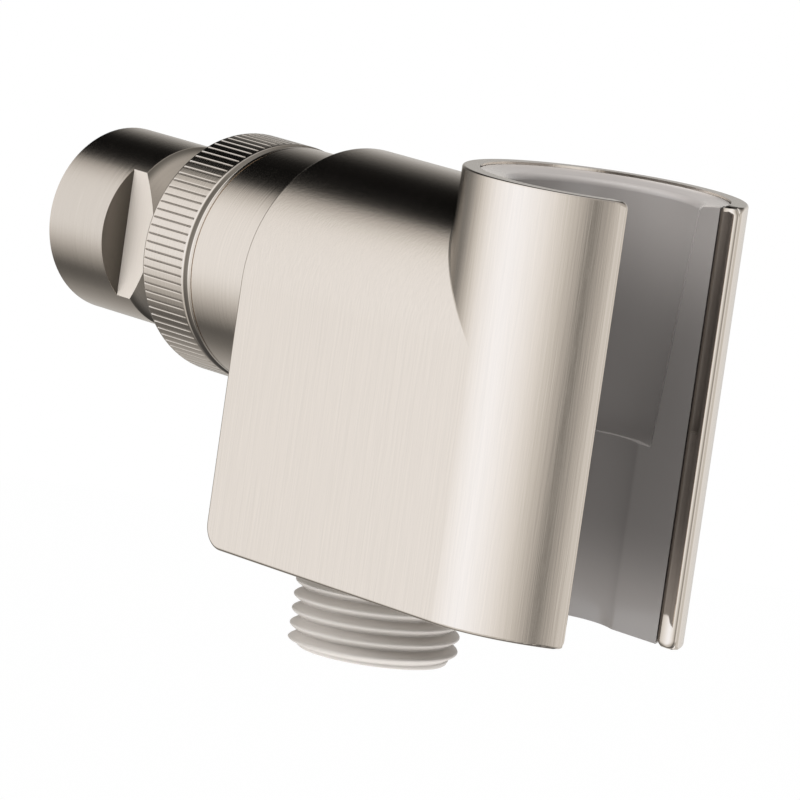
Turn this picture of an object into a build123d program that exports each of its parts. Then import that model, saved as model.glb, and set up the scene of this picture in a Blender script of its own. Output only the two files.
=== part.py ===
from build123d import *
from math import cos, radians, sin, sqrt
import os

# Hand shower holder for the end of a shower arm: a ball joint with a knurled lock ring,
# a holder body with a C-shaped clamp for the hand shower and a threaded hose outlet below.
# Millimetres. The origin is the centre of the connector's inlet face, on the arm's axis.
# +X leads away from the wall to the clamp's opening, +Z is up.

os.makedirs("parts", exist_ok=True)

# Standard half-inch pipe thread, on the arm's inlet and on the hose outlet
thread_radius = 20.955 / 2
thread_pitch = 1.814
thread_depth = 1.162
crest_land = 0.5
root_land = 0.35

# Clearances between pieces
slip_gap = 0.1
running_gap = 0.08
bead_gap = 0.05
face_gap = 0.02

# Arm connector, one turned piece from the inlet to the ball
connector_wall = 1.2225
connector_length = 14.7
inlet_depth = 11.0
inlet_relief = 0.3
flats_across = 17.0
flats_start = 12.0
flats_lean = 11.0
shoulder_angle = 48.0
neck_radius = 6.0
ball_x = 31.5
arm_bore_radius = 4.2
pocket_radius = 7.0
pocket_end = 16.6

# Inlet washer, screen and flow regulator
washer_thickness = 2.0
washer_bore = 6.2
screen_thickness = 0.4
screen_hole_radius = 0.5
screen_hole_step = 1.7
screen_rings = 3
regulator_length = 3.6
regulator_holes = 8
regulator_hole_radius = 0.9
regulator_ring_wire = 0.55

# Ball clamp: slip ring, thrust ring, seat and seal
slip_ring_thickness = 0.8
slip_ring_rear_angle = 66.0
slip_ring_front_angle = 78.0
thrust_ring_gap = 0.3
thrust_ring_length = 3.4
seat_start = 1.6
seat_wall = 2.65
seal_wire = 1.1
seal_angle = 47.0

# Lock ring
ring_start = 24.6
ring_length = 9.25
ring_stand = 0.15
ring_wall = 1.8
ring_flange = 1.6
ring_hold_rear = 0.7
ring_hold_front = 0.3
ring_rear_chamfer = 0.3
ring_front_chamfer = 0.45
knurl_grooves = 90
knurl_width = 0.25
knurl_depth = 0.3
knurl_rear_rim = 0.7
knurl_front_rim = 0.85

# Ball housing, the smooth barrel between the lock ring and the body
barrel_step = 2.15
barrel_lip = 0.45
barrel_line_width = 0.2
barrel_line_depth = 0.2
sleeve_wall = 1.05
housing_bore = 5.5
spigot_radius = 11.0
spigot_length = 10.0
spigot_groove_width = 2.1
spigot_groove_wall = 1.2
spigot_seal_wire = 0.9

# Holder body
body_half_width = 17.2
body_rear = 47.0
body_bottom = -33.0
body_wall = 2.1
body_rear_wall = 2.3
body_heel_radius = 3.0
body_edge_radius = 0.4
crease_radius = 0.6

# Clamp for the hand shower
clamp_x = 91.7
clamp_top = 20.6
clamp_half_slot = 8.8
jaw_lip_height = 0.7
jaw_lip_depth = 1.0
jaw_lip_inset = 0.5
jaw_outer_round = 0.25
jaw_lip_round = 0.3
jaw_corner_round = 1.2
rim_edge_radius = 0.3

# Clamp liner with the cone seat
liner_half_slot = 8.0
liner_top_inset = 0.3
liner_bottom_inset = 0.3
seat_top_radius = 11.6
seat_ledge_radius = 9.95
seat_ledge_z = -10.0
passage_radius = 8.75
liner_bevel = 0.6
liner_mouth_round = 0.8
passage_edge_round = 2.0

# Outlet nipple for the hose
outlet_x = 61.2
outlet_end = -43.4
outlet_lead = 0.9
nipple_top = -24.8

# Waterway insert
tower_radius = 11.0
tower_top = 8.5
socket_side_gap = 0.5
water_radius = 6.0
base_thickness = 2.4
base_inset = 0.2
screw_boss_radius = 3.5
screw_heights = (-22.0, -3.0)
screw_radius = 1.4
screw_length = 9.0
screw_head_radius = 2.7
screw_head_inset = 0.25
screw_recess_width = 0.7
screw_recess_length = 3.0
screw_recess_depth = 0.9

# Check valve cartridge in the outlet
nipple_wall = 2.0655
valve_wall = 1.1
valve_top = -27.0
valve_bottom = -42.9
valve_seat_land = 1.0
valve_seat_thickness = 1.5
valve_hub_radius = 2.2
valve_hub_top = -37.8
valve_hub_length = 1.2
valve_rib_width = 1.4
valve_ribs = 3
valve_ring_wire = 0.36
valve_ring_drop = 3.0
poppet_side_gap = 1.1
poppet_thickness = 1.4
poppet_stem_radius = 1.2
poppet_stem_past_hub = 0.6
poppet_knob_radius = 2.4
poppet_knob_height = 0.9
valve_seal_thickness = 0.65
spring_wire = 0.3
spring_radius = 2.3
spring_turns = 5

# Worked out from the driving sizes
connector_radius = thread_radius + connector_wall
barrel_radius = body_half_width - barrel_step
ring_radius = barrel_radius + ring_stand
ring_bore = ring_radius - ring_wall
thrust_ring_radius = ring_bore - thrust_ring_gap
barrel_bore = ring_bore - slip_gap - sleeve_wall
ball_radius = barrel_bore - seat_wall
ring_opening_rear = ball_radius - ring_hold_rear
ring_opening_front = ball_radius - ring_hold_front
seal_reach = ball_radius + bead_gap + seal_wire
seal_x = ball_x + seal_reach * cos(radians(seal_angle))
seal_radius = seal_reach * sin(radians(seal_angle))
seal_bore = seal_radius + seal_wire + bead_gap
seal_shoulder = seal_x + seal_wire + bead_gap
seat_face = seal_x - seal_wire - face_gap
washer_start = inlet_depth - screen_thickness - washer_thickness
ring_end = ring_start + ring_length
barrel_start = ring_end + slip_gap
flange_front = ring_start + ring_flange
shell_half_width = body_half_width - body_wall
socket_radius = shell_half_width - socket_side_gap
clamp_bore = body_half_width - body_wall
liner_radius = clamp_bore - slip_gap
lip_radius = clamp_bore - jaw_lip_height
thread_root = thread_radius - thread_depth
washer_radius = thread_root - slip_gap
liner_bottom = body_bottom + liner_bottom_inset
liner_top = clamp_top - liner_top_inset
cavity_rear = body_rear + body_rear_wall
clamp_height = clamp_top - body_bottom
seat_radius = ball_radius + slip_gap
slip_ring_inner = ball_radius + slip_gap
slip_ring_outer = slip_ring_inner + slip_ring_thickness
thrust_seat_radius = slip_ring_outer + slip_gap
valve_bore = thread_root - nipple_wall
valve_radius = valve_bore - bead_gap
poppet_radius = valve_radius - valve_wall - poppet_side_gap
valve_seat_radius = poppet_radius - valve_seat_land
valve_seat_face = valve_top - valve_seat_thickness
poppet_top = valve_seat_face - bead_gap - valve_seal_thickness
poppet_bottom = poppet_top - poppet_thickness

# Sections are drawn in these planes: along the arm's axis and radius, along the outlet's
# radius and height, and along the clamp's radius and height
ARM_SECTION = Plane.XZ
ARM_AXIS = Axis.X
OUTLET_SECTION = Plane(origin=(outlet_x, 0, 0), x_dir=(1, 0, 0), z_dir=(0, -1, 0))
OUTLET_AXIS = Axis((outlet_x, 0, 0), (0, 0, 1))
CLAMP_SECTION = Plane(origin=(clamp_x, 0, 0), x_dir=(1, 0, 0), z_dir=(0, -1, 0))
CLAMP_AXIS = Axis((clamp_x, 0, 0), (0, 0, 1))


def section(plane, *points):
    """A closed outline of straight lines in a section plane."""
    with BuildSketch(plane) as outline:
        with BuildLine():
            Polyline(*points, close=True)
        make_face()
    return outline.sketch


def across(x, z=0):
    """The plane across the arm's axis at x and height z, its own x along +Y and y along +Z."""
    return Plane(origin=(x, 0, z), x_dir=(0, 1, 0), z_dir=(1, 0, 0))


def cupped_ring(start, end, outer_radius, cup_radius):
    """A ring on the arm's axis from start to end whose inside lies on a sphere about the ball."""
    with BuildSketch(ARM_SECTION) as outline:
        with BuildLine():
            near = (start, sqrt(cup_radius**2 - (start - ball_x) ** 2))
            far = (end, sqrt(cup_radius**2 - (end - ball_x) ** 2))
            middle = (start + end) / 2
            deep = (middle, sqrt(cup_radius**2 - (middle - ball_x) ** 2))
            ThreePointArc(near, deep, far)
            Polyline(far, (end, outer_radius), (start, outer_radius), near)
        make_face()
    return outline.sketch


def level(x, z):
    """The level plane at height z, centred on the upright axis at x."""
    return Plane(origin=(x, 0, z), x_dir=(1, 0, 0), z_dir=(0, 0, 1))


# Arm connector: threaded sleeve with two wrench flats, cone shoulder, neck and ball
shoulder_run = (connector_radius - neck_radius) / sin(radians(shoulder_angle)) * cos(radians(shoulder_angle))
neck_start = connector_length + shoulder_run

with BuildPart() as arm_connector:
    revolve(
        section(
            ARM_SECTION,
            (0, 0),
            (0, connector_radius - ring_rear_chamfer),
            (ring_rear_chamfer, connector_radius),
            (connector_length, connector_radius),
            (neck_start, neck_radius),
            (ball_x, neck_radius),
            (ball_x, 0),
        ),
        axis=ARM_AXIS,
    )
    with Locations((ball_x, 0, 0)):
        Sphere(ball_radius)
    revolve(
        section(
            ARM_SECTION,
            (0, 0),
            (0, thread_radius),
            (washer_start, thread_radius),
            (washer_start, thread_radius + inlet_relief),
            (inlet_depth, thread_radius + inlet_relief),
            (inlet_depth, pocket_radius),
            (pocket_end, pocket_radius),
            (pocket_end, arm_bore_radius),
            (ball_x + ball_radius, arm_bore_radius),
            (ball_x + ball_radius, 0),
        ),
        axis=ARM_AXIS,
        mode=Mode.SUBTRACT,
    )
    # Wrench flats, milled from each side, with a step wall that leans back to the inlet
    flat_depth = connector_radius - flats_across / 2
    lean_run = flat_depth * sin(radians(flats_lean)) / cos(radians(flats_lean))
    for side in (-1, 1):
        with BuildSketch(Plane.XY) as flat_outline:
            with BuildLine():
                Polyline(
                    (flats_start, side * flats_across / 2),
                    (flats_start - lean_run, side * connector_radius),
                    (neck_start, side * connector_radius),
                    (neck_start, side * flats_across / 2),
                    close=True,
                )
            make_face()
        extrude(amount=connector_radius, both=True, mode=Mode.SUBTRACT)
arm_connector.part.label = "arm_connector"
export_step(arm_connector.part, "parts/arm_connector.step")

# Rubber inlet washer, at the bottom of the threaded inlet
with BuildPart() as inlet_washer:
    with BuildSketch(across(washer_start)):
        Circle(washer_radius)
        Circle(washer_bore, mode=Mode.SUBTRACT)
    extrude(amount=washer_thickness - face_gap)
inlet_washer.part.label = "inlet_washer"
export_step(inlet_washer.part, "parts/inlet_washer.step")

# Inlet screen: a thin disc with rings of small holes, between the washer and the seat
with BuildPart() as inlet_screen:
    with BuildSketch(across(inlet_depth - screen_thickness)):
        Circle(washer_radius)
        Circle(screen_hole_radius, mode=Mode.SUBTRACT)
        for ring in range(1, screen_rings + 1):
            with PolarLocations(ring * screen_hole_step, 6 * ring):
                Circle(screen_hole_radius, mode=Mode.SUBTRACT)
    extrude(amount=screen_thickness - face_gap)
inlet_screen.part.label = "inlet_screen"
export_step(inlet_screen.part, "parts/inlet_screen.step")

# Flow regulator: a plastic star disc in the pocket behind the screen, with its ring of holes
regulator_end = pocket_end - bead_gap
regulator_radius = pocket_radius - slip_gap
regulator_start = regulator_end - regulator_length
regulator_groove = regulator_ring_wire + face_gap

with BuildPart() as flow_regulator:
    with BuildSketch(across(regulator_start)):
        Circle(regulator_radius)
        with PolarLocations(regulator_radius * 0.55, regulator_holes):
            Circle(regulator_hole_radius, mode=Mode.SUBTRACT)
    extrude(amount=regulator_length)
    revolve(
        section(
            ARM_SECTION,
            (regulator_start + regulator_groove, regulator_radius - 2 * regulator_groove + slip_gap),
            (regulator_start + regulator_groove, regulator_radius + slip_gap),
            (regulator_start + 3 * regulator_groove, regulator_radius + slip_gap),
            (regulator_start + 3 * regulator_groove, regulator_radius - 2 * regulator_groove + slip_gap),
        ),
        axis=ARM_AXIS,
        mode=Mode.SUBTRACT,
    )
flow_regulator.part.label = "flow_regulator"
export_step(flow_regulator.part, "parts/flow_regulator.step")

with BuildPart() as regulator_ring:
    ring_place = Plane(
        origin=(regulator_start + 2 * regulator_groove, 0, 0), x_dir=(0, 1, 0), z_dir=(1, 0, 0)
    )
    with Locations(ring_place):
        Torus(pocket_radius - regulator_groove, regulator_ring_wire)
regulator_ring.part.label = "regulator_ring"
export_step(regulator_ring.part, "parts/regulator_ring.step")

# Slip ring: a band of a thin sphere between the ball and the thrust ring
with BuildPart() as slip_ring:
    with BuildSketch(Plane(origin=(ball_x, 0, 0), x_dir=(1, 0, 0), z_dir=(0, -1, 0))) as band:
        with BuildLine():
            rear = radians(180 - slip_ring_rear_angle)
            front = radians(180 - slip_ring_front_angle)
            inner_rear = (slip_ring_inner * cos(rear), slip_ring_inner * sin(rear))
            inner_front = (slip_ring_inner * cos(front), slip_ring_inner * sin(front))
            outer_rear = (slip_ring_outer * cos(rear), slip_ring_outer * sin(rear))
            outer_front = (slip_ring_outer * cos(front), slip_ring_outer * sin(front))
            RadiusArc(inner_rear, inner_front, slip_ring_inner)
            Line(inner_front, outer_front)
            RadiusArc(outer_front, outer_rear, -slip_ring_outer)
            Line(outer_rear, inner_rear)
        make_face()
    revolve(axis=ARM_AXIS)
slip_ring.part.label = "slip_ring"
export_step(slip_ring.part, "parts/slip_ring.step")

# Thrust ring: slides with the lock ring without turning, and cups the slip ring
thrust_start = flange_front + face_gap
thrust_end = flange_front + thrust_ring_length

with BuildPart() as thrust_ring:
    revolve(
        cupped_ring(thrust_start, thrust_end, thrust_ring_radius, thrust_seat_radius),
        axis=ARM_AXIS,
    )
thrust_ring.part.label = "thrust_ring"
export_step(thrust_ring.part, "parts/thrust_ring.step")

# Ball seat: the cup in front of the ball, against the housing's shoulder
with BuildPart() as ball_seat:
    revolve(
        cupped_ring(ball_x + seat_start, seat_face, barrel_bore - running_gap, seat_radius),
        axis=ARM_AXIS,
    )
ball_seat.part.label = "ball_seat"
export_step(ball_seat.part, "parts/ball_seat.step")

# Ball seal: a rubber ring that lies on the ball, in its own bore of the housing
with BuildPart() as ball_seal:
    with Locations(across(seal_x)):
        Torus(seal_radius, seal_wire)
ball_seal.part.label = "ball_seal"
export_step(ball_seal.part, "parts/ball_seal.step")

# Lock ring: a nut with a rear flange, knurled with fine straight grooves between two plain rims
with BuildPart() as lock_ring:
    revolve(
        section(
            ARM_SECTION,
            (ring_start, ring_opening_rear),
            (ring_start, ring_radius - ring_rear_chamfer),
            (ring_start + ring_rear_chamfer, ring_radius),
            (ring_end - ring_front_chamfer, ring_radius),
            (ring_end, ring_radius - ring_front_chamfer),
            (ring_end, ring_bore),
            (flange_front, ring_bore),
            (flange_front, ring_opening_front),
        ),
        axis=ARM_AXIS,
    )
    knurl_length = ring_length - knurl_rear_rim - knurl_front_rim
    with BuildSketch(across(ring_start + knurl_rear_rim)):
        with PolarLocations(ring_radius, knurl_grooves):
            Rectangle(2 * knurl_depth, knurl_width)
    extrude(amount=knurl_length, mode=Mode.SUBTRACT)
lock_ring.part.label = "lock_ring"
export_step(lock_ring.part, "parts/lock_ring.step")

# Ball housing: threaded rear spigot inside the lock ring, barrel with a lip and a turned line,
# front spigot that goes through the body's rear wall into the waterway insert
rear_spigot_start = flange_front + thrust_ring_length + 3 * slip_gap
line_start = barrel_start + barrel_lip
line_end = line_start + barrel_line_width
spigot_end = body_rear + spigot_length
groove_end = spigot_end - spigot_groove_wall
groove_start = groove_end - spigot_groove_width
groove_radius = spigot_radius - 2 * spigot_seal_wire

with BuildPart() as ball_housing:
    revolve(
        section(
            ARM_SECTION,
            (rear_spigot_start, barrel_bore),
            (rear_spigot_start, ring_bore - slip_gap),
            (barrel_start, ring_bore - slip_gap),
            (barrel_start, barrel_radius),
            (line_start, barrel_radius),
            (line_start, barrel_radius - barrel_line_depth),
            (line_end, barrel_radius - barrel_line_depth),
            (line_end, barrel_radius),
            (body_rear, barrel_radius),
            (body_rear, spigot_radius),
            (groove_start, spigot_radius),
            (groove_start, groove_radius),
            (groove_end, groove_radius),
            (groove_end, spigot_radius),
            (spigot_end, spigot_radius),
            (spigot_end, housing_bore),
            (seal_shoulder, housing_bore),
            (seal_shoulder, seal_bore),
            (seat_face + face_gap, seal_bore),
            (seat_face + face_gap, barrel_bore),
        ),
        axis=ARM_AXIS,
    )
ball_housing.part.label = "ball_housing"
export_step(ball_housing.part, "parts/ball_housing.step")

# Rubber ring that seals the front spigot in the insert's socket
with BuildPart() as housing_seal:
    with Locations(across((groove_start + groove_end) / 2)):
        Torus(spigot_radius - spigot_seal_wire + face_gap, spigot_seal_wire)
housing_seal.part.label = "housing_seal"
export_step(housing_seal.part, "parts/housing_seal.step")


def hull_section(plane, half_width, bottom):
    """Flat sides and bottom under a half round about the arm's axis."""
    with BuildSketch(plane) as outline:
        with BuildLine():
            top = CenterArc((0, 0), half_width, 0, 180)
            Polyline(top @ 1, (-half_width, bottom), (half_width, bottom), top @ 0)
        make_face()
    return outline.sketch


def cavity_outline(gap):
    """The shell's inner outline seen from below, with the same gap taken off all round."""
    half_width = shell_half_width - gap
    clamp_curve = body_half_width + gap
    reach = clamp_x - sqrt(clamp_curve**2 - half_width**2)
    with BuildSketch(Plane.XY) as outline:
        with BuildLine():
            Polyline(
                (reach, half_width),
                (cavity_rear + gap, half_width),
                (cavity_rear + gap, -half_width),
                (reach, -half_width),
            )
            ThreePointArc((reach, -half_width), (clamp_x - clamp_curve, 0), (reach, half_width))
        make_face()
    return outline.sketch


# Countersunk screws: head against the clamp's wall, point towards the inlet
screw_face = clamp_x - clamp_bore - screw_head_inset
screw_tip = screw_face - screw_length
screw_head_length = screw_head_radius - screw_radius


def screw_outline(height, gap, overrun):
    """Half section of a countersunk screw, a gap larger all round and longer past the head."""
    return section(
        Plane(origin=(0, 0, height), x_dir=(1, 0, 0), z_dir=(0, -1, 0)),
        (screw_face + overrun, 0),
        (screw_face + overrun, screw_head_radius + gap),
        (screw_face, screw_head_radius + gap),
        (screw_face - screw_head_length, screw_radius + gap),
        (screw_tip + screw_radius, screw_radius + gap),
        (screw_tip, 0),
    )


# Holder body: one casting, a hollow hull that runs into the upright C of the clamp
with BuildPart() as holder_body:
    extrude(hull_section(across(body_rear), body_half_width, body_bottom), amount=clamp_x - body_rear)
    heel = holder_body.edges().filter_by(Axis.Y).group_by(Axis.Z)[0].sort_by(Axis.X)[0]
    fillet(heel, body_heel_radius)
    with BuildSketch(level(clamp_x, body_bottom)):
        Circle(body_half_width)
    extrude(amount=clamp_height)
    # Eased outer edges at the rear and below, and a soft crease where the cylinders cross
    edges = holder_body.edges()
    rear_edges = edges.filter_by_position(Axis.X, body_rear - face_gap, body_rear + face_gap)
    bottom_edges = edges.filter_by_position(Axis.Z, body_bottom - face_gap, body_bottom + face_gap)
    fillet(rear_edges + bottom_edges, body_edge_radius)
    fillet(holder_body.edges().filter_by(GeomType.ELLIPSE), crease_radius)
    # Hollow of the hull, open below, with an even wall behind the clamp's bore
    extrude(
        hull_section(across(cavity_rear), shell_half_width, body_bottom),
        amount=clamp_x - cavity_rear,
        mode=Mode.SUBTRACT,
    )
    # The clamp again where the hollow cut it, inside its eased lower edge
    for eased in (0, body_edge_radius):
        with BuildSketch(level(clamp_x, body_bottom + eased)):
            Circle(body_half_width - body_edge_radius + eased)
        extrude(amount=clamp_height - eased)
    # Bore and slot of the clamp
    with BuildSketch(level(clamp_x, body_bottom)):
        Circle(clamp_bore)
        with Locations((body_half_width, 0)):
            Rectangle(2 * body_half_width, 2 * clamp_half_slot)
    extrude(amount=clamp_height, mode=Mode.SUBTRACT)
    # Lip inside each jaw end, which holds the liner
    with BuildSketch(level(clamp_x, body_bottom + jaw_lip_inset)):
        Circle(clamp_bore + slip_gap)
        Circle(lip_radius, mode=Mode.SUBTRACT)
        with Locations((body_half_width, 0)):
            Rectangle(2 * body_half_width, 2 * (clamp_half_slot + jaw_lip_depth), mode=Mode.INTERSECT)
            Rectangle(2 * body_half_width, 2 * clamp_half_slot, mode=Mode.SUBTRACT)
    extrude(amount=clamp_height - 2 * jaw_lip_inset)
    jaw_outer_x = clamp_x + sqrt(body_half_width**2 - clamp_half_slot**2)
    jaw_edges = holder_body.edges().filter_by(Axis.Z).filter_by_position(
        Axis.X, jaw_outer_x - face_gap, jaw_outer_x + face_gap
    )
    fillet(jaw_edges, jaw_outer_round)
    lip_edges = holder_body.edges().filter_by(Axis.Z).filter_by(
        lambda edge: abs((Vector(clamp_x, 0, edge.center().Z) - edge.center()).length - lip_radius)
        < face_gap
        and abs(edge.center().Y) < clamp_half_slot + face_gap
    )
    fillet(lip_edges, jaw_lip_round)
    # Round corners of the jaw ends, seen from the side
    for corner_z, inward in ((body_bottom, 1), (clamp_top, -1)):
        centre_z = corner_z + inward * jaw_corner_round
        with BuildSketch(Plane.XZ) as corner:
            with Locations((jaw_outer_x - jaw_corner_round / 2, (corner_z + centre_z) / 2)):
                Rectangle(jaw_corner_round, jaw_corner_round)
            with Locations((jaw_outer_x - jaw_corner_round, centre_z)):
                Circle(jaw_corner_round, mode=Mode.SUBTRACT)
        extrude(amount=body_half_width, both=True, mode=Mode.SUBTRACT)
    rims = holder_body.edges().filter_by(GeomType.CIRCLE).filter_by(
        lambda edge: edge.radius > body_half_width - face_gap and edge.center().Z > body_half_width
    )
    fillet(rims, rim_edge_radius)
    # Hole for the housing's spigot in the rear wall
    with BuildSketch(across(body_rear)):
        Circle(spigot_radius + slip_gap)
    extrude(amount=body_rear_wall, mode=Mode.SUBTRACT)
    # Countersunk screw holes through the wall between the clamp's bore and the hollow
    for height in screw_heights:
        revolve(
            screw_outline(height, slip_gap, screw_head_inset + body_wall),
            axis=Axis((0, 0, height), (1, 0, 0)),
            mode=Mode.SUBTRACT,
        )
holder_body.part.label = "holder_body"
export_step(holder_body.part, "parts/holder_body.step")

# Clamp liner: plastic C with a cone seat, a ledge and a straight passage for the hose
with BuildPart() as clamp_liner:
    with BuildSketch(level(clamp_x, liner_bottom)):
        Circle(liner_radius)
        # Tips cut back behind the jaw lips
        with Locations((body_half_width, 0)):
            Rectangle(
                2 * body_half_width,
                2 * (clamp_half_slot + jaw_lip_depth + slip_gap),
                mode=Mode.SUBTRACT,
            )
        Circle(lip_radius - slip_gap)
        with Locations((body_half_width, 0)):
            Rectangle(2 * body_half_width, 2 * liner_half_slot, mode=Mode.SUBTRACT)
    extrude(amount=liner_top - liner_bottom)
    revolve(
        section(
            CLAMP_SECTION,
            (0, liner_bottom),
            (passage_radius, liner_bottom),
            (passage_radius, seat_ledge_z),
            (seat_ledge_radius, seat_ledge_z),
            (seat_top_radius, liner_top - liner_bevel),
            (liner_radius, liner_top),
            (0, liner_top),
        ),
        axis=CLAMP_AXIS,
        mode=Mode.SUBTRACT,
    )
    mouth = clamp_liner.edges().filter_by(GeomType.CIRCLE).filter_by(
        lambda edge: abs(edge.radius - seat_top_radius) < face_gap
    )
    fillet(mouth, liner_mouth_round)
    passage_edges = clamp_liner.edges().filter_by(Axis.Z).filter_by(
        lambda edge: abs((Vector(clamp_x, 0, edge.center().Z) - edge.center()).length - passage_radius)
        < face_gap
    )
    fillet(passage_edges, passage_edge_round)
clamp_liner.part.label = "clamp_liner"
export_step(clamp_liner.part, "parts/clamp_liner.step")

# Waterway insert: socket for the housing's spigot, upright tower for the outlet nipple and base
# plate that closes the hull from below
base_bottom = body_bottom + base_inset
socket_start = cavity_rear + slip_gap
socket_depth = spigot_end + slip_gap
nipple_seat = nipple_top + slip_gap

with BuildPart() as waterway_insert:
    extrude(cavity_outline(slip_gap).moved(Location((0, 0, base_bottom))), amount=base_thickness)
    with BuildSketch(level(outlet_x, base_bottom)):
        Circle(tower_radius)
    extrude(amount=tower_top - base_bottom)
    with BuildSketch(across(socket_start)):
        Circle(socket_radius)
    extrude(amount=outlet_x - socket_start)
    for height in screw_heights:
        with BuildSketch(across(outlet_x, height)):
            Circle(screw_boss_radius)
        extrude(amount=clamp_x - body_half_width - slip_gap - outlet_x)
    # Socket and water channels
    with BuildSketch(across(socket_start)):
        Circle(spigot_radius + bead_gap)
    extrude(amount=socket_depth - socket_start, mode=Mode.SUBTRACT)
    with BuildSketch(across(socket_depth)):
        Circle(water_radius)
    extrude(amount=outlet_x - socket_depth, mode=Mode.SUBTRACT)
    with BuildSketch(level(outlet_x, nipple_seat)):
        Circle(water_radius)
    extrude(amount=water_radius - nipple_seat, mode=Mode.SUBTRACT)
    with BuildSketch(level(outlet_x, base_bottom)):
        Circle(thread_root + bead_gap)
    extrude(amount=nipple_seat - base_bottom, mode=Mode.SUBTRACT)
    for height in screw_heights:
        with BuildSketch(across(screw_tip - slip_gap, height)):
            Circle(screw_radius + bead_gap)
        extrude(amount=screw_length, mode=Mode.SUBTRACT)
waterway_insert.part.label = "waterway_insert"
export_step(waterway_insert.part, "parts/waterway_insert.step")

# Outlet nipple: a plain shank fixed in the insert and the thread for the hose below the body
first_crest = outlet_end + outlet_lead + crest_land / 2
crest_count = int((body_bottom - crest_land - first_crest) / thread_pitch)
crests = [first_crest + turn * thread_pitch for turn in range(crest_count + 1)]

with BuildPart() as outlet_nipple:
    outline = [(water_radius, nipple_top), (thread_root, nipple_top)]
    for crest in reversed(crests):
        outline += [
            (thread_root, crest + (thread_pitch - root_land) / 2),
            (thread_radius, crest + crest_land / 2),
            (thread_radius, crest - crest_land / 2),
            (thread_root, crest - (thread_pitch - root_land) / 2),
        ]
    outline += [
        (thread_root, outlet_end),
        (valve_bore, outlet_end),
        (valve_bore, valve_top + bead_gap),
        (water_radius, valve_top + bead_gap),
    ]
    revolve(section(OUTLET_SECTION, *outline), axis=OUTLET_AXIS)
outlet_nipple.part.label = "outlet_nipple"
export_step(outlet_nipple.part, "parts/outlet_nipple.step")

# Two countersunk screws hold the insert, driven from the clamp's bore before the liner goes in


def cross_recess(height):
    """The cross-shaped driver recess, as a solid that reaches past the screw's face."""
    with BuildPart(mode=Mode.PRIVATE) as recess:
        with BuildSketch(across(screw_face - screw_recess_depth, height)):
            Rectangle(screw_recess_length, screw_recess_width)
            Rectangle(screw_recess_width, screw_recess_length)
        extrude(amount=2 * screw_recess_depth)
    return recess.part


with BuildPart() as lower_screw:
    revolve(screw_outline(screw_heights[0], 0, bead_gap), axis=Axis((0, 0, screw_heights[0]), (1, 0, 0)))
    add(cross_recess(screw_heights[0]), mode=Mode.SUBTRACT)
lower_screw.part.label = "lower_screw"
export_step(lower_screw.part, "parts/lower_screw.step")

with BuildPart() as upper_screw:
    revolve(screw_outline(screw_heights[1], 0, bead_gap), axis=Axis((0, 0, screw_heights[1]), (1, 0, 0)))
    add(cross_recess(screw_heights[1]), mode=Mode.SUBTRACT)
upper_screw.part.label = "upper_screw"
export_step(upper_screw.part, "parts/upper_screw.step")

# Check valve body: a tube with a seat at its top and a hub on ribs that guides the stem
valve_inner = valve_radius - valve_wall
valve_groove = valve_radius - 2 * valve_ring_wire
valve_ring_z = valve_top - valve_ring_drop
hub_bottom = valve_hub_top - valve_hub_length

with BuildPart() as check_valve_body:
    revolve(
        section(
            OUTLET_SECTION,
            (valve_seat_radius, valve_top),
            (valve_radius, valve_top),
            (valve_radius, valve_ring_z + valve_ring_wire + face_gap),
            (valve_groove, valve_ring_z + valve_ring_wire + face_gap),
            (valve_groove, valve_ring_z - valve_ring_wire - face_gap),
            (valve_radius, valve_ring_z - valve_ring_wire - face_gap),
            (valve_radius, valve_bottom),
            (valve_inner, valve_bottom),
            (valve_inner, valve_seat_face),
            (valve_seat_radius, valve_seat_face),
        ),
        axis=OUTLET_AXIS,
    )
    with BuildSketch(level(outlet_x, hub_bottom)):
        Circle(valve_hub_radius)
        with PolarLocations(valve_inner / 2, valve_ribs):
            Rectangle(valve_inner + valve_wall / 2, valve_rib_width)
        Circle(poppet_stem_radius + running_gap, mode=Mode.SUBTRACT)
    extrude(amount=valve_hub_length)
check_valve_body.part.label = "check_valve_body"
export_step(check_valve_body.part, "parts/check_valve_body.step")

with BuildPart() as check_valve_ring:
    with Locations(level(outlet_x, valve_ring_z)):
        Torus(valve_radius - valve_ring_wire + face_gap, valve_ring_wire)
check_valve_ring.part.label = "check_valve_ring"
export_step(check_valve_ring.part, "parts/check_valve_ring.step")

# Poppet: disc with a stem in the hub and a knob that carries the seal
with BuildPart() as check_valve_poppet:
    revolve(
        section(
            OUTLET_SECTION,
            (0, poppet_top + poppet_knob_height),
            (poppet_knob_radius, poppet_top + poppet_knob_height),
            (poppet_knob_radius, poppet_top),
            (poppet_radius, poppet_top),
            (poppet_radius, poppet_bottom),
            (poppet_stem_radius, poppet_bottom),
            (poppet_stem_radius, hub_bottom - poppet_stem_past_hub),
            (0, hub_bottom - poppet_stem_past_hub),
        ),
        axis=OUTLET_AXIS,
    )
check_valve_poppet.part.label = "check_valve_poppet"
export_step(check_valve_poppet.part, "parts/check_valve_poppet.step")

with BuildPart() as check_valve_seal:
    with BuildSketch(level(outlet_x, poppet_top)):
        Circle(poppet_radius)
        Circle(poppet_knob_radius + face_gap, mode=Mode.SUBTRACT)
    extrude(amount=valve_seal_thickness)
check_valve_seal.part.label = "check_valve_seal"
export_step(check_valve_seal.part, "parts/check_valve_seal.step")

# Spring between the hub and the poppet
spring_bottom = valve_hub_top + spring_wire + face_gap
spring_top = poppet_bottom - spring_wire - face_gap

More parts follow.
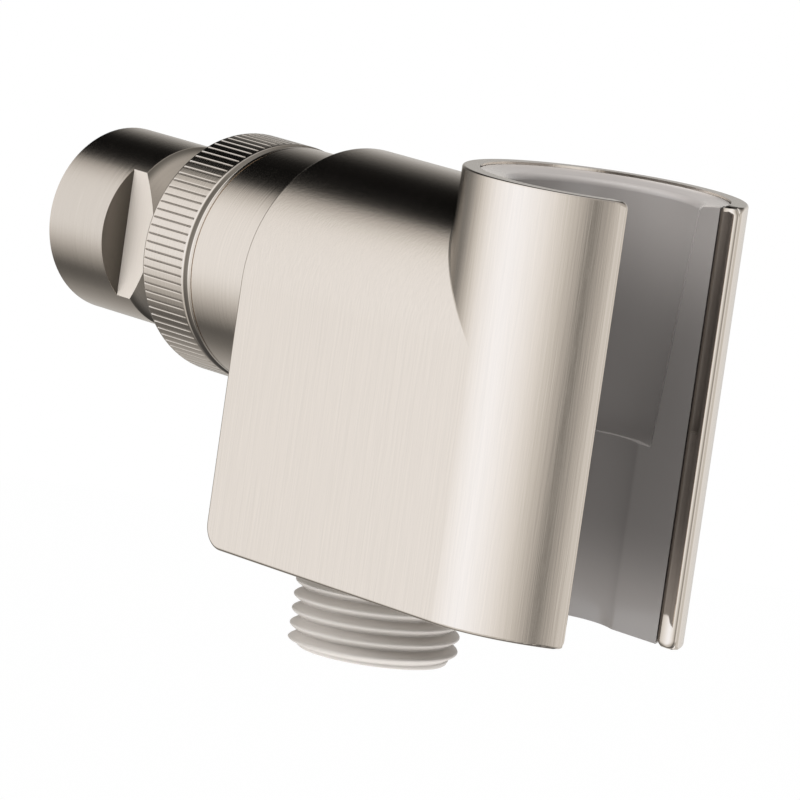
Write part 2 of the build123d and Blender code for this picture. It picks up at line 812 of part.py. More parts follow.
with BuildPart() as check_valve_spring:
    with BuildLine(level(outlet_x, spring_bottom)):
        coil = Helix((spring_top - spring_bottom) / spring_turns, spring_top - spring_bottom, spring_radius)
    with BuildSketch(Plane(origin=coil @ 0, z_dir=coil % 0)):
        Circle(spring_wire)
    sweep()
check_valve_spring.part.label = "check_valve_spring"
export_step(check_valve_spring.part, "parts/check_valve_spring.step")
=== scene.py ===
import math

import bpy
import numpy as np
from mathutils import Matrix, Vector


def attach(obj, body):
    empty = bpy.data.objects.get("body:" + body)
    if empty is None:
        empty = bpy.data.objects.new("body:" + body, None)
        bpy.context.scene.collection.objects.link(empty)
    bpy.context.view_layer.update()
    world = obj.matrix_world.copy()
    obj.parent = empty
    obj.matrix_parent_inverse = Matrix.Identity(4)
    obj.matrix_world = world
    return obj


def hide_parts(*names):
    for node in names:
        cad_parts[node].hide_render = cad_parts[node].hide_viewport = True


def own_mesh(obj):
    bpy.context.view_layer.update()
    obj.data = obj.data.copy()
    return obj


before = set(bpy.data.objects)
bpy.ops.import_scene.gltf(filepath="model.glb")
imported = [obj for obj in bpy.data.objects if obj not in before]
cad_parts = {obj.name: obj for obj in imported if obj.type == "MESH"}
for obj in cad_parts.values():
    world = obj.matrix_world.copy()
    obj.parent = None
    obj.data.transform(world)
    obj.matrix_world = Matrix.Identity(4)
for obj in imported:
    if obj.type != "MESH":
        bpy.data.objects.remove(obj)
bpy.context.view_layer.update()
MM = 0.001

# Sizes of the frame that the added pieces and the shader's masks fit, painted shade among them, in
# millimetres

# Half-inch pipe thread, and how far the added crests stay inside the CAD's
THREAD_CREST = 10.4775
THREAD_ROOT = 9.3155
THREAD_PITCH = 1.814
INSIDE_CAD = 0.02
INLET_THREAD_END = 8.6

# Outlet nipple, with the check valve's seat and spring
OUTLET_X = 61.2
OUTLET_END = -43.4
NIPPLE_TOP = -24.8
NIPPLE_BORE = 7.25
WATER_RADIUS = 6.0
VALVE_SEAT_Z = -26.95
SPRING_BOTTOM = -37.78
SPRING_TOP = -30.62
SPRING_RADIUS = 2.3
SPRING_WIRE = 0.3
SPRING_TURNS = 5

# Body and the two jaws of its clamp
BODY_BOTTOM = -33.0
CLAMP_TOP = 20.6
JAW_FACE = 8.95
JAW_INNER = 103.47
JAW_OUTER = 106.28

# Connector: the step wall of its wrench flats, and its cone
CONNECTOR_RADIUS = 11.65
FLATS_START = 11.3
FLATS_FOOT = 12.02
HALF_FLATS = 8.5
CONE_START = 14.7

# Lock ring, with its knurl and the step in front of it
RING_START = 24.6
RING_END = 33.85
RING_RADIUS = 15.2
RING_BORE = 13.4
KNURL_GROOVES = 90
KNURL_START = 25.0
KNURL_END = 32.65
RING_STEP = 33.06

# Nickel on the body and ring, on the connector, and the darker nickel of the shade painted on them
NICKEL = (0.765, 0.700, 0.632)
ARM_NICKEL = (0.680, 0.620, 0.557)
PAINTED_SHADE_NICKEL = (0.13, 0.12, 0.105)
POLISHED_ROUGHNESS = 0.06
MILLED_ROUGHNESS = 0.45
SCRATCH_DEPTH = 0.024 * MM

# Lines of the brushing to the metre, across them and along them
ACROSS_GRAIN = 8500.0
ALONG_GRAIN = 170.0

# How bright plastic stays where shade is painted on it
PAINTED_SHADE_LEVEL = 0.58

# Camera, fitted to the photo
CAMERA_AZIMUTH = 50.0242
CAMERA_ELEVATION = 7.7438
CAMERA_ROLL = 8.205
CAMERA_TARGET = (59.7262, 0.0, -11.8903)
CAMERA_DISTANCE = 1027.0878
CAMERA_LENS = 378.0
SENSOR_WIDTH = 36.0


# Shader maths as expressions


class Wire:
    """A value's socket. An operator on it and a socket or a number adds a Math node."""

    def __init__(self, material, socket):
        self.material, self.socket = material, socket

    def _math(self, operation, first, second):
        return self.material.node(
            "ShaderNodeMath", {"operation": operation}, {0: first, 1: second}
        )

    def __add__(self, other):
        return self._math("ADD", self, other)

    def __radd__(self, other):
        return self._math("ADD", other, self)

    def __sub__(self, other):
        return self._math("SUBTRACT", self, other)

    def __rsub__(self, other):
        return self._math("SUBTRACT", other, self)

    def __mul__(self, other):
        return self._math("MULTIPLY", self, other)

    def __rmul__(self, other):
        return self._math("MULTIPLY", other, self)

    def __truediv__(self, other):
        return self._math("DIVIDE", self, other)

    def __rtruediv__(self, other):
        return self._math("DIVIDE", other, self)

    def __pow__(self, other):
        return self._math("POWER", self, other)

    def ramp(self, low, high, out_low=0.0, out_high=1.0):
        """The value carried smoothly from low..high to out_low..out_high."""
        return self.material.node(
            "ShaderNodeMapRange",
            {"interpolation_type": "SMOOTHSTEP"},
            {0: self, 1: low, 2: high, 3: out_low, 4: out_high},
        )

    def past(self, start, soft=0.05):
        """1 past a place in millimetres and 0 before it, with a soft edge that ends there."""
        return self.ramp((start - soft) * MM, start * MM)

    def until(self, end, soft=0.05):
        """1 up to a place in millimetres and 0 beyond it, with a soft edge that starts there."""
        return self.ramp((end + soft) * MM, end * MM)

    def size(self):
        """The value without its sign."""
        return (self * self) ** 0.5

    def clamp(self):
        """The value kept between 0 and 1."""
        return self.material.node("ShaderNodeClamp", {}, {0: self, 1: 0.0, 2: 1.0})


class Finish:
    """A material or world built from nodes."""

    def __init__(self, owner):
        owner.use_nodes = True
        self.owner = owner
        self.tree = owner.node_tree
        self.tree.nodes.clear()

    def node(self, kind, settings=None, values=None, out=0):
        """A node of that type: its settings first, then its sockets' values or links."""
        made = self.tree.nodes.new(kind)
        for name, value in (settings or {}).items():
            if name == "stops":
                ramp = made.color_ramp
                while len(ramp.elements) < len(value):
                    ramp.elements.new(1.0)
                for element, (place, colour) in zip(ramp.elements, value):
                    element.position = place
                    element.color = (*colour, 1.0) if len(colour) == 3 else colour
            else:
                setattr(made, name, value)
        for name, value in (values or {}).items():
            socket = made.inputs[name]
            if isinstance(value, Wire):
                self.tree.links.new(value.socket, socket)
            elif isinstance(value, (tuple, list)) and len(value) == 3 and socket.type == "RGBA":
                socket.default_value = (*value, 1.0)
            else:
                socket.default_value = value
        return Wire(self, made.outputs[out])

    def mix(self, factor, first, second, blend="MIX"):
        """Two colours mixed by a factor."""
        return self.node(
            "ShaderNodeMix",
            {"data_type": "RGBA", "blend_type": blend},
            {0: factor, 6: first, 7: second},
            out=2,
        )

    def place(self):
        """Object coordinates, in metres."""
        return self.node("ShaderNodeTexCoord", {}, {}, out=3)

    def scaled(self, vector, scale):
        return self.node("ShaderNodeVectorMath", {"operation": "MULTIPLY"}, {0: vector, 1: scale})

    def noise(self, vector, scale, detail=2.0, roughness=0.5):
        return self.node(
            "ShaderNodeTexNoise",
            {},
            {"Vector": vector, "Scale": scale, "Detail": detail, "Roughness": roughness},
        )

    def parts(self, vector):
        """The three parts of a vector."""
        made = self.tree.nodes.new("ShaderNodeSeparateXYZ")
        self.tree.links.new(vector.socket, made.inputs[0])
        return tuple(Wire(self, made.outputs[i]) for i in range(3))

    def facing(self):
        """The three parts of the direction that the surface faces, before its bumps."""
        return self.parts(self.node("ShaderNodeNewGeometry", {}, {}, out="True Normal"))

    def vector(self, x, y, z):
        return self.node("ShaderNodeCombineXYZ", {}, {0: x, 1: y, 2: z})

    def surface(self, shader):
        output = self.tree.nodes.new("ShaderNodeOutputMaterial")
        self.tree.links.new(shader.socket, output.inputs["Surface"])
        return self.owner


def finish(name):
    return Finish(bpy.data.materials.new(name))


def brushed(name, grain, base, rough, bump, anisotropy, polish=None, painted_shade_and_matt=None):
    """Brushed nickel.

    grain gives the place, stretched along the brushing, that the lines read. polish gives 1
    where the metal is polished instead. The last argument gives where shade is painted dark,
    where the metal is matt and where it is chalky.
    """
    made = finish(name)
    place = made.place()
    lines = grain(made, place)
    fine = made.noise(lines, 1.0, 2.0, 0.6)
    broad = made.noise(made.scaled(lines, (0.4, 0.4, 0.4)), 1.0, 2.0, 0.5)
    cloud = made.noise(place, 45.0, 3.0, 0.55)
    matt = 1.0 - polish(made, place) if polish else 1.0
    tone = made.mix(
        ((fine * 0.65 + broad * 0.35 - 0.5) * matt + 0.5).ramp(0.3, 0.7),
        tuple(0.975 * c for c in base),
        tuple(min(1.0, 1.02 * c) for c in base),
    )
    worn = rough + (fine - 0.5) * 0.06 + (cloud - 0.5) * 0.04
    metal = 1.0
    if painted_shade_and_matt:
        # Painted shade: the first value mixes in the darker nickel where shade falls
        dark, matt_cut, chalk = painted_shade_and_matt(made, place)
        tone = made.mix(dark, tone, PAINTED_SHADE_NICKEL)
        worn = worn + (MILLED_ROUGHNESS - worn) * matt_cut
        metal = 1.0 - chalk
    height = made.node(
        "ShaderNodeBump",
        {},
        {"Strength": bump, "Distance": SCRATCH_DEPTH, "Height": (fine * 0.6 + broad) * matt},
    )
    return made.surface(
        made.node(
            "ShaderNodeBsdfPrincipled",
            {},
            {
                "Base Color": tone,
                "Metallic": metal,
                "Roughness": (worn - POLISHED_ROUGHNESS) * matt + POLISHED_ROUGHNESS,
                "Anisotropic": anisotropy,
                "Normal": height,
            },
        )
    )


def upright_lines(made, place):
    """Brushing along Z: tight across, long along."""
    return made.scaled(place, (ACROSS_GRAIN, ACROSS_GRAIN, ALONG_GRAIN))


def turned_lines(made, place):
    """Brushing round the arm's axis: long along the turn, tight along X, or across a flat rim."""
    x, y, z = made.parts(place)
    radius = (y * y + z * z + 1e-12) ** 0.5
    facing = made.facing()[0]
    rim = (facing * facing).ramp(0.5, 0.8)
    across = x + (radius - x) * rim
    return made.vector(across * ACROSS_GRAIN, y / radius * 2.2, z / radius * 2.2)


def jaw_polish(made, place):
    """The jaws' ends and their lips are polished."""
    x, y, z = made.parts(place)
    return y.size().until(JAW_FACE + 0.45, 0.3) * x.past(JAW_INNER - 0.47, 1.0)


def milled_flats_and_shade(made, place):
    """Wrench flats matt and chalky, with painted shade on their step walls and the cone's outer
    edge.

    The flats are a touch darker, and the walls' painted shade is deepest beside the flats.
    """
    x, y, z = made.parts(place)
    radius = (y * y + z * z) ** 0.5
    walls = x.past(FLATS_START) * x.until(FLATS_FOOT, 0.04)
    walls = walls * radius.until(CONNECTOR_RADIUS, 0.04) * y.size().past(HALF_FLATS, 0.06)
    facing = made.facing()[1]
    flats = x.past(FLATS_FOOT + 0.03, 0.1) * facing.size().ramp(0.95, 0.985)
    edge = x.past(CONE_START + 0.1, 0.15) * x.until(CONE_START + 0.15, 0.75) * (1.0 - flats)
    foot = y.size().ramp(HALF_FLATS * MM, (CONNECTOR_RADIUS - 0.45) * MM, 1.0, 0.72)
    # Painted shade on the step walls and the cone's edge, then the matt and chalky flats
    return walls * foot + flats * 0.05 + edge * 0.8, (walls + flats).clamp(), flats * 0.62


def ring_painted_shade(made, place):
    """Painted shade: the lock ring's knurl grooves and the step at its front are painted darker,
    and the grooves are rougher.
    """
    x, y, z = made.parts(place)
    radius = (y * y + z * z) ** 0.5
    grooves = x.past(KNURL_START + 0.15, 0.1) * x.until(KNURL_END - 0.13, 0.1)
    grooves = grooves * radius.until(RING_RADIUS - 0.09, 0.06)
    step = x.past(RING_STEP) * x.until(RING_STEP + 0.3, 0.06)
    step = step * radius.until(RING_RADIUS - 0.11, 0.04)
    return grooves * 0.55 + step * 0.62, grooves * 0.4, 0.0


def rim_painted_shade(made, place):
    """Painted shade: the clamp's flat top rim is painted a little darker."""
    rim = made.facing()[2].ramp(0.85, 0.97) * made.parts(place)[2].past(CLAMP_TOP - 0.1, 0.1)
    return rim * 0.38, 0.0, 0.0


def plastic(name, base, rough, speckle=0.02, coat=0.0, shade=None):
    """Moulded plastic with a faint flow tone and fine texture; shade gives where shade is painted.
    """
    made = finish(name)
    place = made.place()
    flow = made.noise(place, 60.0, 3.0, 0.5)
    grain = made.noise(place, 2600.0, 2.0, 0.6)
    tone = made.mix(
        flow.ramp(0.3, 0.7),
        tuple((1 - speckle) * c for c in base),
        tuple(min(1.0, (1 + speckle) * c) for c in base),
    )
    # Painted shade: the plastic is painted dimmer where shade gives 1
    if shade:
        tone = made.mix(shade(made, place), tone, tuple(PAINTED_SHADE_LEVEL * c for c in base))
    height = made.node(
        "ShaderNodeBump", {}, {"Strength": 0.05, "Distance": 0.0001, "Height": grain}
    )
    return made.surface(
        made.node(
            "ShaderNodeBsdfPrincipled",
            {},
            {
                "Base Color": tone,
                "Roughness": rough + (flow - 0.5) * 0.08,
                "Coat Weight": coat,
                "Coat Roughness": 0.08,
                "Normal": height,
            },
        )
    )


def liner_painted_shade(made, place):
    """Painted shade: light reaches the liner through its top and bottom ends, so its middle is
    painted dimmer.
    """
    z = made.parts(place)[2]
    return z.past(-19.0, 13.5) - z.past(16.5, 13.5) * 0.62


def plain_metal(name, base, rough):
    """Drawn steel wire, screws and sheet: a faint grain and uneven gloss."""
    made = finish(name)
    place = made.place()
    grain = made.noise(place, 900.0, 3.0, 0.6)
    tone = made.mix(grain.ramp(0.3, 0.7), tuple(0.93 * c for c in base), base)
    return made.surface(
        made.node(
            "ShaderNodeBsdfPrincipled",
            {},
            {"Base Color": tone, "Metallic": 1.0, "Roughness": rough + (grain - 0.5) * 0.15},
        )
    )


# Surfaces from grids of points


def grid_mesh(name, points, close_u=False, close_v=False, caps=False):
    """A mesh through a grid of points (rows by columns by three), in millimetres.

    close_u joins the last row to the first, close_v the last column to the first, and caps
    closes the first and last rows with one face each.
    """
    rows, columns = points.shape[:2]
    index = np.arange(rows * columns).reshape(rows, columns)
    if close_u:
        index = np.vstack([index, index[:1]])
    if close_v:
        index = np.hstack([index, index[:, :1]])
    faces = np.stack(
        [index[:-1, :-1], index[:-1, 1:], index[1:, 1:], index[1:, :-1]], axis=-1
    ).reshape(-1, 4)
    faces = faces.tolist()
    if caps:
        faces += [list(range(columns))[::-1], list(range((rows - 1) * columns, rows * columns))]
    mesh = bpy.data.meshes.new(name)
    mesh.from_pydata((points.reshape(-1, 3) * MM).tolist(), [], faces)
    mesh.polygons.foreach_set("use_smooth", np.ones(len(mesh.polygons), bool))
    made = bpy.data.objects.new(name, mesh)
    bpy.context.scene.collection.objects.link(made)
    return made


def sharpen(piece, degrees):
    """Edges sharper than the angle stay crisp."""
    piece.data.set_sharp_from_angle(angle=math.radians(degrees))


def thread_height(phase, start, end, runout):
    """Thread form from 0 at the narrow root to 1 at the round crest: a raised cosine to a power.

    The phase counts turns from a crest; the form fades over the runout at both ends of the run.
    """
    form = (0.5 + 0.5 * np.cos(2 * np.pi * phase)) ** 0.7
    fade = np.clip(start / runout[0], 0.0, 1.0) * np.clip(end / runout[1], 0.0, 1.0)
    return form * fade * fade * (3 - 2 * fade)


def carried_round(name, angle, before, along, radii, after, upright=False):
    """A closed profile carried round the arm's axis, or round the outlet's upright one.

    The radii, a row for each place along the axis, change with the angle. The plain stretches
    before and after them are points of a place along the axis and a radius.
    """
    ring = np.ones(len(angle))
    radii = np.vstack([[r * ring for _, r in before], radii, [r * ring for _, r in after]])
    along = np.concatenate([[a for a, _ in before], along, [a for a, _ in after]])
    run = np.broadcast_to(along[:, None], radii.shape)
    across, up = radii * np.cos(angle), radii * np.sin(angle)
    parts = [OUTLET_X + across, up, run] if upright else [run, across, up]
    return grid_mesh(name, np.stack(parts, axis=-1), close_u=True, close_v=True)


def threaded_nipple():
    """The outlet nipple: a closed profile carried round the upright axis.

    Outside, the radius at angle t and height z is root + depth * form((z - z0) / pitch - t / turn),
    a right-hand helix. The end has a small lead-in, the bore and its step are plain.
    """
    steps, thread_start, lead_in = 240, -34.0, 0.35
    crest_z, crest_angle = -38.92, math.radians(-129.0)
    angle = np.linspace(0, 2 * np.pi, steps, endpoint=False)
    heights = np.linspace(thread_start, OUTLET_END + lead_in, 132)
    t, z = np.meshgrid(angle, heights, indexing="xy")
    phase = (z - crest_z) / THREAD_PITCH - (t - crest_angle) / (2 * np.pi)
    form = thread_height(phase, heights[0] - z, z - heights[-1], (1.2, 0.55))
    outside = THREAD_ROOT + (THREAD_CREST - INSIDE_CAD - THREAD_ROOT) * form
    before = [
        (NIPPLE_TOP, WATER_RADIUS),
        (NIPPLE_TOP, THREAD_ROOT),
        (thread_start + 0.4, THREAD_ROOT),
    ]
    after = [
        (OUTLET_END + 0.2, THREAD_ROOT - 0.05),
        (OUTLET_END + 0.03, THREAD_ROOT - 0.25),
        (OUTLET_END, THREAD_ROOT - 0.5),
        (OUTLET_END, NIPPLE_BORE + 0.3),
        (OUTLET_END + 0.1, NIPPLE_BORE + 0.05),
        (OUTLET_END + lead_in, NIPPLE_BORE),
        (VALVE_SEAT_Z, NIPPLE_BORE),
        (VALVE_SEAT_Z, WATER_RADIUS),
    ]
    piece = carried_round(
        "outlet_nipple_threaded", angle, before, heights, outside, after, upright=True
    )
    sharpen(piece, 50)
    return piece


def knurled_ring():
    """The lock ring: a closed profile carried round the arm's axis, with straight V grooves.

    At angle t and place x the radius falls by depth * v(t) * w(x): v rises from 0 at a groove's
    edge to 1 along its middle, and w rises from 0 to 1 over a short slope at each groove's end.
    """
    half_width, half_bottom, depth, slope = 0.125, 0.03, 0.17, 0.12
    pitch = 2 * np.pi * RING_RADIUS / KNURL_GROOVES
    beside = np.array([half_bottom, 0.12, 0.14, 0.24])
    offsets = np.concatenate([[-pitch / 2], -beside[::-1], beside])
    angle = (np.arange(KNURL_GROOVES)[:, None] * pitch + offsets).ravel() / RING_RADIUS
    across = np.tile(offsets, KNURL_GROOVES)
    valley = np.clip((half_width - np.abs(across)) / (half_width - half_bottom), 0.0, 1.0)
    full = np.linspace(KNURL_START + slope, KNURL_END - slope, 8)
    run_in = [KNURL_START, KNURL_START + slope / 2]
    run = np.concatenate([run_in, full, [KNURL_END - slope / 2, KNURL_END]])
    window = np.clip(np.minimum(run - KNURL_START, KNURL_END - run) / slope, 0.0, 1.0)
    outside = RING_RADIUS - depth * window[:, None] * valley
    flange, land = RING_START + 1.6, 14.72
    # Neck opening and rounded rear edge
    before = [
        (RING_START, 8.9),
        (RING_START, 14.85),
        (RING_START + 0.06, 15.02),
        (RING_START + 0.18, 15.15),
        (RING_START + 0.32, RING_RADIUS),
    ]
    # Sloping step down to a narrow land, then the bore and the flange's inner face
    after = [
        (RING_STEP - 0.18, RING_RADIUS),
        (RING_STEP - 0.10, RING_RADIUS - 0.02),
        (RING_STEP - 0.03, RING_RADIUS - 0.08),
        (RING_STEP + 0.28, land + 0.06),
        (RING_STEP + 0.34, land + 0.02),
        (RING_STEP + 0.42, land),
        (RING_END - 0.09, land),
        (RING_END - 0.03, land - 0.02),
        (RING_END, land - 0.08),
        (RING_END, RING_BORE),
        (flange, RING_BORE),
        (flange, 9.3),
    ]
    piece = carried_round("knurled_lock_ring", angle, before, run, outside, after)
    sharpen(piece, 40)
    return piece


def jaw_end(name, side):
    """The rounded face of a jaw's end: a profile across the jaw, carried along its height.

    From the inner edge the profile is flat, by the rise above the jaw's face, and past the hinge
    it is a quarter ellipse back to the outer face. The rise shrinks on a quarter circle at the
    top and bottom, and the outer edge goes in by the corner's quarter circle. The profile's two
    ends are sunk into the jaw.
    """
    low, high = BODY_BOTTOM + 0.03, CLAMP_TOP - 0.03
    rise, hinge, corner, fillet, sunk = 0.75, 104.9, 1.2, 0.5, 0.3
    rounding = np.linspace(0.0, fillet, 8) ** 1.5
    ends = np.concatenate([rounding, np.linspace(fillet, corner, 6)[1:], [3.0]])
    z = np.concatenate([low + ends, [(low + high) / 2], high - ends[::-1]])
    from_end = np.minimum(z - low, high - z)[:, None]
    swell = rise * np.sqrt(1 - np.clip(1 - from_end / fillet, 0.0, 1.0) ** 2)
    cut = corner - np.sqrt(corner**2 - np.clip(corner - from_end, 0.0, corner) ** 2)
    inner = JAW_INNER + 0.5 * np.clip((0.7 - from_end) / 0.4, 0.0, 1.0)
    outer = JAW_OUTER - cut
    u = np.sin(np.linspace(0.0, np.pi / 2, 28))
    flat = inner + [0.0, 0.0, 0.03, 0.1]
    x = np.hstack([flat, hinge + (outer - hinge) * u, outer - sunk])
    dome = np.concatenate([[0.0, 0.88, 0.96, 1.0], np.sqrt(1 - u * u)])
    y = np.hstack([JAW_FACE - swell * dome, np.full((len(z), 1), JAW_FACE + sunk)])
    y[:, 0] = JAW_FACE + sunk
    if side > 0:
        x, y = x[:, ::-1], y[:, ::-1]
    points = np.stack([x, side * y, np.broadcast_to(z[:, None], x.shape)], axis=-1)
    piece = grid_mesh(name, points, close_v=True, caps=True)
    sharpen(piece, 60)
    return piece


def inlet_thread():
    """The inlet's thread: a closed profile carried round the arm's axis.

    Inside, the radius at angle t and place x is crest - depth * form(x / pitch - t / turn), a
    right-hand helix. The plain outer wall lies within the connector's.
    """
    steps, outer_wall = 200, THREAD_CREST + 0.4
    angle = np.linspace(0, 2 * np.pi, steps, endpoint=False)
    run = np.linspace(0.35, INLET_THREAD_END - 0.1, 120)
    t, x = np.meshgrid(angle, run, indexing="xy")
    phase = x / THREAD_PITCH - t / (2 * np.pi)
    form = thread_height(phase, x - run[0], run[-1] - x, (0.9, 0.9))
    inside = THREAD_CREST - (THREAD_CREST - THREAD_ROOT) * form - INSIDE_CAD
    before, after = [(run[0], outer_wall)], [(run[-1], outer_wall)]
    piece = carried_round("inlet_thread", angle, before, run, inside, after)
    sharpen(piece, 50)
    return piece


def valve_spring():
    """The check valve's spring: a wire's circle, leaning with the helix, carried along it."""
    whole_turn = SPRING_TURNS * 2 * np.pi
    turn = np.linspace(0, whole_turn, 40 * SPRING_TURNS + 1)[:, None]
    wire = np.linspace(2 * np.pi, 0, 12, endpoint=False)
    start, rise = SPRING_BOTTOM + SPRING_WIRE, SPRING_TOP - SPRING_BOTTOM - 2 * SPRING_WIRE
    lean = math.atan(rise / (whole_turn * SPRING_RADIUS))
    out, up = SPRING_WIRE * np.cos(wire), SPRING_WIRE * np.sin(wire)
    radius = SPRING_RADIUS + out
    points = np.stack(
        [
            OUTLET_X + radius * np.cos(turn) + up * math.sin(lean) * np.sin(turn),
            radius * np.sin(turn) - up * math.sin(lean) * np.cos(turn),
            start + rise * turn / whole_turn + up * math.cos(lean),
        ],
        axis=-1,
    )
    piece = grid_mesh("valve_spring", points, close_v=True, caps=True)
    sharpen(piece, 50)
    return piece


# Materials

nickel_body = brushed(
    "nickel_body", upright_lines, NICKEL, 0.13, 0.34, 0.45, polish=jaw_polish, painted_shade_and_matt=rim_painted_shade
)
nickel_turned = brushed("nickel_turned", turned_lines, NICKEL, 0.15, 0.28, 0.0, painted_shade_and_matt=ring_painted_shade)
nickel_arm = brushed("nickel_arm", turned_lines, ARM_NICKEL, 0.17, 0.32, 0.0, painted_shade_and_matt=milled_flats_and_shade)
nipple_plastic = plastic("nipple_plastic", (0.575, 0.539, 0.503), 0.36)
liner_plastic = plastic(
    "liner_plastic", (0.335, 0.3135, 0.300), 0.22, coat=0.3, shade=liner_painted_shade
)
insert_plastic = plastic("insert_plastic", (0.46, 0.445, 0.42), 0.5)
bearing_plastic = plastic("bearing_plastic", (0.78, 0.78, 0.75), 0.38)
valve_plastic = plastic("valve_plastic", (0.66, 0.66, 0.64), 0.4)
black_rubber = plastic("black_rubber", (0.028, 0.028, 0.028), 0.55, speckle=0.15)
steel = plain_metal("steel", (0.58, 0.575, 0.56), 0.3)

NODE_FINISH = {
    "arm_connector": nickel_arm,
    "lock_ring": nickel_turned,
    "ball_housing": nickel_turned,
    "holder_body": nickel_body,
    "clamp_liner": liner_plastic,
    "waterway_insert": insert_plastic,
    "slip_ring": bearing_plastic,
    "thrust_ring": bearing_plastic,
    "ball_seat": bearing_plastic,
    "flow_regulator": bearing_plastic,
    "check_valve_body": valve_plastic,
    "check_valve_poppet": valve_plastic,
    "inlet_washer": black_rubber,
    "regulator_ring": black_rubber,
    "ball_seal": black_rubber,
    "housing_seal": black_rubber,
    "check_valve_ring": black_rubber,
    "check_valve_seal": black_rubber,
    "inlet_screen": steel,
    "check_valve_spring": steel,
    "lower_screw": steel,
    "upper_screw": steel,
}
for name, made in NODE_FINISH.items():
    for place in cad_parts[name].material_slots:
        place.material = made

# Added pieces

nipple = threaded_nipple()
nipple.data.materials.append(nipple_plastic)
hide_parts("outlet_nipple")
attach(nipple, "holder")

ring = knurled_ring()
ring.data.materials.append(nickel_turned)
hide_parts("lock_ring")
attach(ring, "ring")

for name, side in (("near_jaw_end", -1), ("far_jaw_end", 1)):
    face = jaw_end(name, side)
    face.data.materials.append(nickel_body)
    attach(face, "holder")

thread = inlet_thread()
thread.data.materials.append(nickel_arm)
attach(thread, "connector")

# The open valve leaves 0.575 of the spring's length
coil = valve_spring()
coil.data.materials.append(steel)
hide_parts("check_valve_spring")
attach(coil, "holder")
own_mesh(coil)


# Studio: a pale floor, even light, and the walls that the metal reflects

# Brightness that the metal sees at each bearing, in degrees, at three heights
WALL_LOW = (
    (-180, 0.18), (-165, 0.10), (-152, 0.36), (-140, 0.62), (-115, 0.74), (-80, 0.64),
    (-62, 0.42), (-46, 0.12), (-30, 0.30), (0, 0.52), (60, 0.65), (120, 0.66), (143, 0.66),
    (152, 0.52), (162, 0.37), (180, 0.18),
)
WALL_LEVEL = (
    (-180, 0.20), (-172, 0.26), (-160, 0.56), (-148, 0.87), (-136, 1.08), (-124, 1.16),
    (-112, 1.20), (-100, 1.15), (-88, 1.07), (-76, 0.93), (-64, 0.72), (-57, 0.58),
    (-48.5, 0.38), (-46.5, 0.16), (-45.5, 0.16), (-43.5, 0.34), (-34, 0.53), (-28, 0.72),
    (-14, 0.95), (6, 0.75), (30, 0.62), (60, 0.80), (100, 0.90), (134, 0.70), (147, 0.46),
    (157, 0.18), (166, 0.11), (180, 0.20),
)
WALL_HIGH = (
    (-180, 0.005), (-172, 0.03), (-162, 0.58), (-152, 0.95), (-140, 1.08), (-112, 1.12),
    (-88, 0.95), (-60, 0.55), (-46, 0.34), (-24, 0.55), (20, 0.50), (80, 0.40), (120, 0.12),
    (144, 0.03), (155, 0.008), (166, 0.003), (180, 0.005),
)

# Heights above the horizon, in degrees, between which one tone changes into the next
LOW_TO_LEVEL = (-38.0, -8.0)
LEVEL_TO_HIGH = (0.0, 34.0)
HIGH_TO_OVERHEAD = (56.0, 85.0)
LOW_TO_UNDERFOOT = (-45.0, -75.0)
OVERHEAD = 0.45
UNDERFOOT = 0.14

# Brightness that soft light takes from the world and from the floor
EVEN_LIGHT = 0.26
FLOOR_LIGHT = 0.86
FLOOR_SEEN = 0.54
FLOOR_STRENGTH = 2.0
FLOOR_Z = -1400.0
LAMP_AIM = (55.0, 0.0, -10.0)


def wall_colour(tone):
    """Dim walls are warm and bright ones slightly cool, as in the photo's metal."""
    return tone, tone * (0.965 + 0.037 * tone**4), tone * (0.91 + 0.10 * tone**4)


def studio_world():
    """White for the camera, even for soft light, and walls with a dark gap for reflections.

    A direction's bearing and height above the horizon read three rows of wall brightness,
    which change smoothly into each other and into one tone overhead and underfoot.
    """
    world = bpy.data.worlds.new("studio")
    bpy.context.scene.world = world
    made = Finish(world)
    x, y, z = made.parts(made.node("ShaderNodeTexCoord", {}, {}, out=0))
    bearing = made.node("ShaderNodeMath", {"operation": "ARCTAN2"}, {0: y, 1: x}) / math.tau + 0.5
    height = made.node("ShaderNodeMath", {"operation": "ARCSINE"}, {0: z}) * (180 / math.pi)

    def row(stops):
        tones = [((turn + 180.0) / 360.0, wall_colour(tone)) for turn, tone in stops]
        return made.node("ShaderNodeValToRGB", {"stops": tones}, {0: bearing})

    low, level, high = (row(stops) for stops in (WALL_LOW, WALL_LEVEL, WALL_HIGH))
    wall = made.mix(height.ramp(*LOW_TO_LEVEL), low, level)
    wall = made.mix(height.ramp(*LEVEL_TO_HIGH), wall, high)
    wall = made.mix(height.ramp(*HIGH_TO_OVERHEAD), wall, (OVERHEAD,) * 3)
    wall = made.mix(height.ramp(*LOW_TO_UNDERFOOT), wall, (UNDERFOOT,) * 3)
    is_camera = made.node("ShaderNodeLightPath", {}, {}, out="Is Camera Ray")
    is_diffuse = made.node("ShaderNodeLightPath", {}, {}, out="Is Diffuse Ray")
    is_through = made.node("ShaderNodeLightPath", {}, {}, out="Is Transmission Ray")
    seen = made.mix(is_diffuse, wall, (EVEN_LIGHT,) * 3)
    seen = made.mix((is_camera + is_through).clamp(), seen, (1.0, 1.0, 1.0))
    background = made.node("ShaderNodeBackground", {}, {"Color": seen, "Strength": 1.0})
    output = made.tree.nodes.new("ShaderNodeOutputWorld")
    made.tree.links.new(background.socket, output.inputs["Surface"])


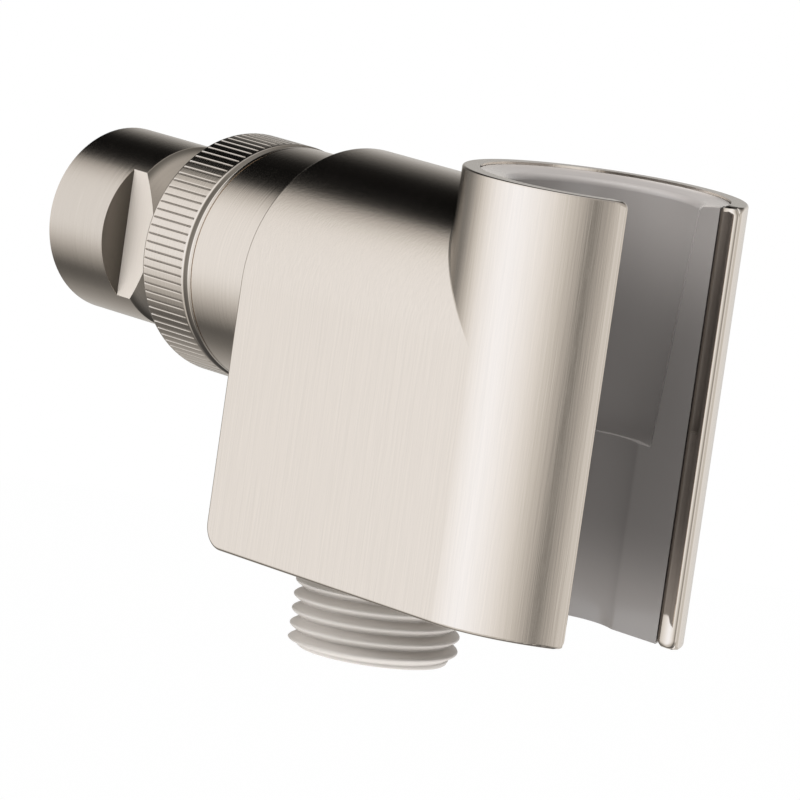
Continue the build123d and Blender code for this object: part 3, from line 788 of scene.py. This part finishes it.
def pale_floor():
    """A flat disc well below the holder: white to the camera, and a glow for soft light."""
    made = finish("pale_floor")
    is_camera = made.node("ShaderNodeLightPath", {}, {}, out="Is Camera Ray")
    is_diffuse = made.node("ShaderNodeLightPath", {}, {}, out="Is Diffuse Ray")
    glow = made.mix(is_diffuse, (FLOOR_SEEN,) * 3, (FLOOR_LIGHT,) * 3)
    matt = made.node("ShaderNodeBsdfDiffuse", {}, {"Color": (0.86, 0.86, 0.86)})
    white = made.node("ShaderNodeEmission", {}, {"Color": glow, "Strength": FLOOR_STRENGTH})
    lit = (is_camera + is_diffuse) * 0.9
    made.surface(made.node("ShaderNodeMixShader", {}, {0: lit, 1: matt, 2: white}))
    turn = np.linspace(0, 2 * np.pi, 96, endpoint=False)
    reach = np.array([0.0001, 1000.0, 4000.0, 9000.0])[:, None]
    level = np.full((len(reach), len(turn)), FLOOR_Z)
    points = np.stack([reach * np.cos(turn), reach * np.sin(turn), level], axis=-1)
    floor = grid_mesh("floor", points, close_v=True)
    floor.data.materials.append(made.owner)
    floor.visible_glossy = False


def soft_lamp(name, bearing, height, distance, width, watts):
    """A square soft lamp facing the holder; bearing and height in degrees, the rest in metres."""
    data = bpy.data.lights.new(name, "AREA")
    data.shape = "SQUARE"
    data.size = width
    data.energy = watts
    lamp = bpy.data.objects.new(name, data)
    b, h = math.radians(bearing), math.radians(height)
    out = Vector((math.cos(b) * math.cos(h), math.sin(b) * math.cos(h), math.sin(h)))
    facing = out.to_track_quat("Z", "Y").to_matrix().to_4x4()
    lamp.matrix_world = Matrix.Translation(Vector(LAMP_AIM) * MM + out * distance) @ facing
    lamp.visible_glossy = False
    lamp.visible_camera = False
    bpy.context.scene.collection.objects.link(lamp)


def look_rotation(azimuth, elevation, roll):
    """Columns right, up and back of a camera at that azimuth and elevation, rolled clockwise."""
    a, e, r = (math.radians(v) for v in (azimuth, elevation, roll))
    back = Vector((math.sin(a) * math.cos(e), -math.cos(a) * math.cos(e), math.sin(e)))
    right = Vector((math.cos(a), math.sin(a), 0.0))
    up = back.cross(right)
    turned_right = math.cos(r) * right + math.sin(r) * up
    turned_up = -math.sin(r) * right + math.cos(r) * up
    return Matrix((turned_right, turned_up, back)).transposed(), back


def add_camera():
    data = bpy.data.cameras.new("camera")
    data.lens = CAMERA_LENS
    data.sensor_width = SENSOR_WIDTH
    data.clip_start = 0.05
    data.clip_end = 100.0
    turn, back = look_rotation(CAMERA_AZIMUTH, CAMERA_ELEVATION, CAMERA_ROLL)
    camera = bpy.data.objects.new("camera", data)
    place = (Vector(CAMERA_TARGET) + back * CAMERA_DISTANCE) * MM
    camera.matrix_world = Matrix.Translation(place) @ turn.to_4x4()
    bpy.context.scene.collection.objects.link(camera)
    bpy.context.scene.camera = camera


studio_world()
pale_floor()
soft_lamp("key_lamp", -115.0, 30.0, 1.2, 0.9, 10.0)
soft_lamp("top_lamp", -60.0, 80.0, 0.9, 0.6, 13.0)
soft_lamp("under_lamp", -60.0, -88.0, 0.29, 0.30, 0.3)
add_camera()
bpy.context.scene.view_settings.view_transform = "Standard"
